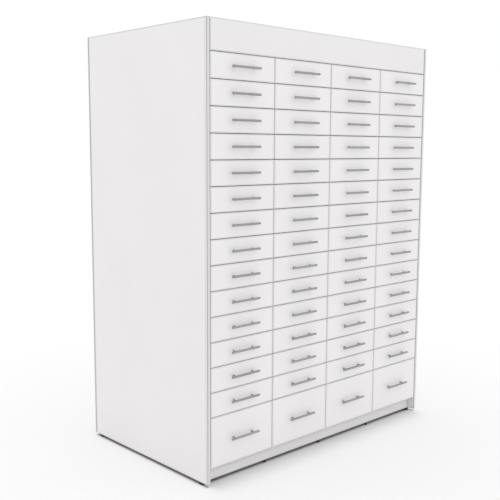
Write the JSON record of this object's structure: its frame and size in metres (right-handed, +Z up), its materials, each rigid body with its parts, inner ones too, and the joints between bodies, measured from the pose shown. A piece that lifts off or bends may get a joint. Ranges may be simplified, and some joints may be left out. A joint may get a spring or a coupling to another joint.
{
  "type": "prescription cabinet",
  "caption": "Tall free-standing white cabinet filled with pull-out drawers on roller runners, each with a straight bar handle, under a plain header and over a recessed plinth on low glides.",
  "frame": {"origin": "on the floor, at the middle of the footprint of the whole cabinet with its handles", "axes": "+Z up, +Y towards the back, so the drawer fronts face -Y and the drawers open along -Y, +X to the right of someone facing the fronts"},
  "size_m": [1.767, 1.068, 2.305],
  "materials": {
    "white_laminate": "satin",
    "box_board": "matte",
    "satin_steel": "satin",
    "coated_steel": "satin",
    "zinc_steel": "satin",
    "black_plastic": "matte"
  },
  "bodies": {
    "cabinet": {"side_panel_left": "white_laminate", "side_panel_right": "white_laminate", "partitions": "white_laminate", "top_panel": "white_laminate", "bottom_panel": "white_laminate", "back_panel": "white_laminate", "back_panel_screws": "zinc_steel", "header_panel": "white_laminate", "header_rails": "white_laminate", "plinth_boards": "white_laminate", "glides": "black_plastic", "cabinet_runners": "coated_steel"},
    "drawer_row06_column1": {"drawer_row06_column1_front_panel": "white_laminate", "drawer_row06_column1_box_walls": "box_board", "drawer_row06_column1_box_bottom": "box_board", "drawer_row06_column1_handle": "satin_steel", "drawer_row06_column1_runners": "coated_steel"},
    "drawers_rows01_to_05_column1": {"drawers_rows01_to_05_column1": "white_laminate"},
    "drawers_rows01_to_05_column2": {"drawers_rows01_to_05_column2": "white_laminate"},
    "drawers_rows01_to_05_column3": {"drawers_rows01_to_05_column3": "white_laminate"},
    "drawers_rows01_to_05_column4": {"drawers_rows01_to_05_column4": "white_laminate"},
    "drawer_row15_column1": {"drawer_row15_column1": "white_laminate"},
    "drawer_row15_column2": {"drawer_row15_column2": "white_laminate"},
    "drawer_row15_column3": {"drawer_row15_column3": "white_laminate"},
    "drawer_row15_column4": {"drawer_row15_column4": "white_laminate"},
    "drawer_row06_column2": {"drawer_row06_column2": "white_laminate"},
    "drawer_row06_column3": {"drawer_row06_column3": "white_laminate"},
    "drawer_row06_column4": {"drawer_row06_column4": "white_laminate"},
    "drawer_row07_column1": {"drawer_row07_column1": "white_laminate"},
    "drawer_row07_column2": {"drawer_row07_column2": "white_laminate"},
    "drawer_row07_column3": {"drawer_row07_column3": "white_laminate"},
    "drawer_row07_column4": {"drawer_row07_column4": "white_laminate"},
    "drawer_row08_column1": {"drawer_row08_column1": "white_laminate"},
    "drawer_row08_column2": {"drawer_row08_column2": "white_laminate"},
    "drawer_row08_column3": {"drawer_row08_column3": "white_laminate"},
    "drawer_row08_column4": {"drawer_row08_column4": "white_laminate"},
    "drawer_row09_column1": {"drawer_row09_column1": "white_laminate"},
    "drawer_row09_column2": {"drawer_row09_column2": "white_laminate"},
    "drawer_row09_column3": {"drawer_row09_column3": "white_laminate"},
    "drawer_row09_column4": {"drawer_row09_column4": "white_laminate"},
    "drawer_row10_column1": {"drawer_row10_column1": "white_laminate"},
    "drawer_row10_column2": {"drawer_row10_column2": "white_laminate"},
    "drawer_row10_column3": {"drawer_row10_column3": "white_laminate"},
    "drawer_row10_column4": {"drawer_row10_column4": "white_laminate"},
    "drawer_row11_column1": {"drawer_row11_column1": "white_laminate"},
    "drawer_row11_column2": {"drawer_row11_column2": "white_laminate"},
    "drawer_row11_column3": {"drawer_row11_column3": "white_laminate"},
    "drawer_row11_column4": {"drawer_row11_column4": "white_laminate"},
    "drawer_row12_column1": {"drawer_row12_column1": "white_laminate"},
    "drawer_row12_column2": {"drawer_row12_column2": "white_laminate"},
    "drawer_row12_column3": {"drawer_row12_column3": "white_laminate"},
    "drawer_row12_column4": {"drawer_row12_column4": "white_laminate"},
    "drawer_row13_column1": {"drawer_row13_column1": "white_laminate"},
    "drawer_row13_column2": {"drawer_row13_column2": "white_laminate"},
    "drawer_row13_column3": {"drawer_row13_column3": "white_laminate"},
    "drawer_row13_column4": {"drawer_row13_column4": "white_laminate"},
    "drawer_row14_column1": {"drawer_row14_column1": "white_laminate"},
    "drawer_row14_column2": {"drawer_row14_column2": "white_laminate"},
    "drawer_row14_column3": {"drawer_row14_column3": "white_laminate"},
    "drawer_row14_column4": {"drawer_row14_column4": "white_laminate"}
  },
  "joints": [
    {"name": "drawer_row06_column1_slide", "type": "slide", "parent": "cabinet", "child": "drawer_row06_column1", "axis": [0, -1, 0], "range_m": [0, 0.74]},
    {"name": "drawers_rows01_to_05_column1_slide", "type": "slide", "parent": "cabinet", "child": "drawers_rows01_to_05_column1", "axis": [0, -1, 0], "range_m": [0, 0.74]},
    {"name": "drawers_rows01_to_05_column2_slide", "type": "slide", "parent": "cabinet", "child": "drawers_rows01_to_05_column2", "axis": [0, -1, 0], "range_m": [0, 0.74]},
    {"name": "drawers_rows01_to_05_column3_slide", "type": "slide", "parent": "cabinet", "child": "drawers_rows01_to_05_column3", "axis": [0, -1, 0], "range_m": [0, 0.74]},
    {"name": "drawers_rows01_to_05_column4_slide", "type": "slide", "parent": "cabinet", "child": "drawers_rows01_to_05_column4", "axis": [0, -1, 0], "range_m": [0, 0.74]},
    {"name": "drawer_row15_column1_slide", "type": "slide", "parent": "cabinet", "child": "drawer_row15_column1", "axis": [0, -1, 0], "range_m": [0, 0.74]},
    {"name": "drawer_row15_column2_slide", "type": "slide", "parent": "cabinet", "child": "drawer_row15_column2", "axis": [0, -1, 0], "range_m": [0, 0.74]},
    {"name": "drawer_row15_column3_slide", "type": "slide", "parent": "cabinet", "child": "drawer_row15_column3", "axis": [0, -1, 0], "range_m": [0, 0.74]},
    {"name": "drawer_row15_column4_slide", "type": "slide", "parent": "cabinet", "child": "drawer_row15_column4", "axis": [0, -1, 0], "range_m": [0, 0.74]},
    {"name": "drawer_row06_column2_slide", "type": "slide", "parent": "cabinet", "child": "drawer_row06_column2", "axis": [0, -1, 0], "range_m": [0, 0.74]},
    {"name": "drawer_row06_column3_slide", "type": "slide", "parent": "cabinet", "child": "drawer_row06_column3", "axis": [0, -1, 0], "range_m": [0, 0.74]},
    {"name": "drawer_row06_column4_slide", "type": "slide", "parent": "cabinet", "child": "drawer_row06_column4", "axis": [0, -1, 0], "range_m": [0, 0.74]},
    {"name": "drawer_row07_column1_slide", "type": "slide", "parent": "cabinet", "child": "drawer_row07_column1", "axis": [0, -1, 0], "range_m": [0, 0.74]},
    {"name": "drawer_row07_column2_slide", "type": "slide", "parent": "cabinet", "child": "drawer_row07_column2", "axis": [0, -1, 0], "range_m": [0, 0.74]},
    {"name": "drawer_row07_column3_slide", "type": "slide", "parent": "cabinet", "child": "drawer_row07_column3", "axis": [0, -1, 0], "range_m": [0, 0.74]},
    {"name": "drawer_row07_column4_slide", "type": "slide", "parent": "cabinet", "child": "drawer_row07_column4", "axis": [0, -1, 0], "range_m": [0, 0.74]},
    {"name": "drawer_row08_column1_slide", "type": "slide", "parent": "cabinet", "child": "drawer_row08_column1", "axis": [0, -1, 0], "range_m": [0, 0.74]},
    {"name": "drawer_row08_column2_slide", "type": "slide", "parent": "cabinet", "child": "drawer_row08_column2", "axis": [0, -1, 0], "range_m": [0, 0.74]},
    {"name": "drawer_row08_column3_slide", "type": "slide", "parent": "cabinet", "child": "drawer_row08_column3", "axis": [0, -1, 0], "range_m": [0, 0.74]},
    {"name": "drawer_row08_column4_slide", "type": "slide", "parent": "cabinet", "child": "drawer_row08_column4", "axis": [0, -1, 0], "range_m": [0, 0.74]},
    {"name": "drawer_row09_column1_slide", "type": "slide", "parent": "cabinet", "child": "drawer_row09_column1", "axis": [0, -1, 0], "range_m": [0, 0.74]},
    {"name": "drawer_row09_column2_slide", "type": "slide", "parent": "cabinet", "child": "drawer_row09_column2", "axis": [0, -1, 0], "range_m": [0, 0.74]},
    {"name": "drawer_row09_column3_slide", "type": "slide", "parent": "cabinet", "child": "drawer_row09_column3", "axis": [0, -1, 0], "range_m": [0, 0.74]},
    {"name": "drawer_row09_column4_slide", "type": "slide", "parent": "cabinet", "child": "drawer_row09_column4", "axis": [0, -1, 0], "range_m": [0, 0.74]},
    {"name": "drawer_row10_column1_slide", "type": "slide", "parent": "cabinet", "child": "drawer_row10_column1", "axis": [0, -1, 0], "range_m": [0, 0.74]},
    {"name": "drawer_row10_column2_slide", "type": "slide", "parent": "cabinet", "child": "drawer_row10_column2", "axis": [0, -1, 0], "range_m": [0, 0.74]},
    {"name": "drawer_row10_column3_slide", "type": "slide", "parent": "cabinet", "child": "drawer_row10_column3", "axis": [0, -1, 0], "range_m": [0, 0.74]},
    {"name": "drawer_row10_column4_slide", "type": "slide", "parent": "cabinet", "child": "drawer_row10_column4", "axis": [0, -1, 0], "range_m": [0, 0.74]},
    {"name": "drawer_row11_column1_slide", "type": "slide", "parent": "cabinet", "child": "drawer_row11_column1", "axis": [0, -1, 0], "range_m": [0, 0.74]},
    {"name": "drawer_row11_column2_slide", "type": "slide", "parent": "cabinet", "child": "drawer_row11_column2", "axis": [0, -1, 0], "range_m": [0, 0.74]},
    {"name": "drawer_row11_column3_slide", "type": "slide", "parent": "cabinet", "child": "drawer_row11_column3", "axis": [0, -1, 0], "range_m": [0, 0.74]},
    {"name": "drawer_row11_column4_slide", "type": "slide", "parent": "cabinet", "child": "drawer_row11_column4", "axis": [0, -1, 0], "range_m": [0, 0.74]},
    {"name": "drawer_row12_column1_slide", "type": "slide", "parent": "cabinet", "child": "drawer_row12_column1", "axis": [0, -1, 0], "range_m": [0, 0.74]},
    {"name": "drawer_row12_column2_slide", "type": "slide", "parent": "cabinet", "child": "drawer_row12_column2", "axis": [0, -1, 0], "range_m": [0, 0.74]},
    {"name": "drawer_row12_column3_slide", "type": "slide", "parent": "cabinet", "child": "drawer_row12_column3", "axis": [0, -1, 0], "range_m": [0, 0.74]},
    {"name": "drawer_row12_column4_slide", "type": "slide", "parent": "cabinet", "child": "drawer_row12_column4", "axis": [0, -1, 0], "range_m": [0, 0.74]},
    {"name": "drawer_row13_column1_slide", "type": "slide", "parent": "cabinet", "child": "drawer_row13_column1", "axis": [0, -1, 0], "range_m": [0, 0.74]},
    {"name": "drawer_row13_column2_slide", "type": "slide", "parent": "cabinet", "child": "drawer_row13_column2", "axis": [0, -1, 0], "range_m": [0, 0.74]},
    {"name": "drawer_row13_column3_slide", "type": "slide", "parent": "cabinet", "child": "drawer_row13_column3", "axis": [0, -1, 0], "range_m": [0, 0.74]},
    {"name": "drawer_row13_column4_slide", "type": "slide", "parent": "cabinet", "child": "drawer_row13_column4", "axis": [0, -1, 0], "range_m": [0, 0.74]},
    {"name": "drawer_row14_column1_slide", "type": "slide", "parent": "cabinet", "child": "drawer_row14_column1", "axis": [0, -1, 0], "range_m": [0, 0.74]},
    {"name": "drawer_row14_column2_slide", "type": "slide", "parent": "cabinet", "child": "drawer_row14_column2", "axis": [0, -1, 0], "range_m": [0, 0.74]},
    {"name": "drawer_row14_column3_slide", "type": "slide", "parent": "cabinet", "child": "drawer_row14_column3", "axis": [0, -1, 0], "range_m": [0, 0.74]},
    {"name": "drawer_row14_column4_slide", "type": "slide", "parent": "cabinet", "child": "drawer_row14_column4", "axis": [0, -1, 0], "range_m": [0, 0.74]}
  ]
}
